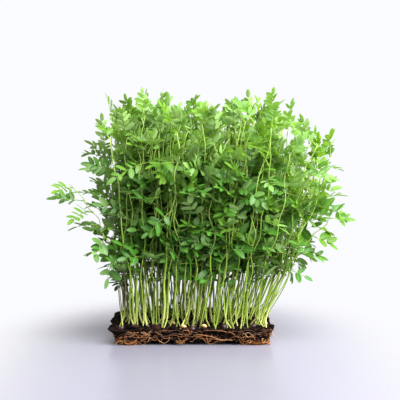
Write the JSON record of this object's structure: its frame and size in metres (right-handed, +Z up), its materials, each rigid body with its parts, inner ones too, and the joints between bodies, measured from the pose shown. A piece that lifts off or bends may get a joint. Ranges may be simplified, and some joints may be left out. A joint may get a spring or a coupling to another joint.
{
  "type": "lentil microgreens on a slab of soil",
  "caption": "Root-bound slab of potting soil, lifted out of its growing tray, with lentil seedlings that fan out above it on thin bare stems to a canopy of small compound leaves",
  "frame": {"origin": "middle of the flat face that the slab rests on", "axes": "+Z up, away from the surface it stands on; +X along the slab's long side, to the right as seen from the front; +Y from the front to the back"},
  "size_m": [0.2433, 0.1325, 0.2039],
  "materials": {
    "soil": "matte",
    "root": "matte",
    "seed_coat": "satin",
    "stem": "satin",
    "leaf": "satin"
  },
  "bodies": {
    "root": {"soil_block": "soil", "root_felt": "root", "seed_1": "seed_coat", "seed_2": "seed_coat", "seed_3": "seed_coat", "seed_4": "seed_coat", "seed_5": "seed_coat", "seed_6": "seed_coat", "stem_01": "stem", "leafy_shoot_01": "leaf", "stem_02": "stem", "leafy_shoot_02": "leaf", "stem_03": "stem", "leafy_shoot_03": "leaf", "stem_04": "stem", "leafy_shoot_04": "leaf", "stem_05": "stem", "leafy_shoot_05": "leaf", "stem_06": "stem", "leafy_shoot_06": "leaf", "stem_07": "stem", "leafy_shoot_07": "leaf", "stem_08": "stem", "leafy_shoot_08": "leaf", "stem_09": "stem", "leafy_shoot_09": "leaf", "stem_10": "stem", "leafy_shoot_10": "leaf", "stem_11": "stem", "leafy_shoot_11": "leaf", "stem_12": "stem", "leafy_shoot_12": "leaf", "stem_13": "stem", "leafy_shoot_13": "leaf", "stem_14": "stem", "leafy_shoot_14": "leaf", "stem_15": "stem", "leafy_shoot_15": "leaf", "stem_16": "stem", "leafy_shoot_16": "leaf", "stem_17": "stem", "leafy_shoot_17": "leaf", "stem_18": "stem", "leafy_shoot_18": "leaf", "stem_19": "stem", "leafy_shoot_19": "leaf", "stem_20": "stem", "leafy_shoot_20": "leaf", "stem_21": "stem", "leafy_shoot_21": "leaf", "stem_22": "stem", "leafy_shoot_22": "leaf", "stem_23": "stem", "leafy_shoot_23": "leaf", "stem_24": "stem", "leafy_shoot_24": "leaf", "stem_25": "stem", "leafy_shoot_25": "leaf", "stem_26": "stem", "leafy_shoot_26": "leaf"}
  },
  "joints": []
}
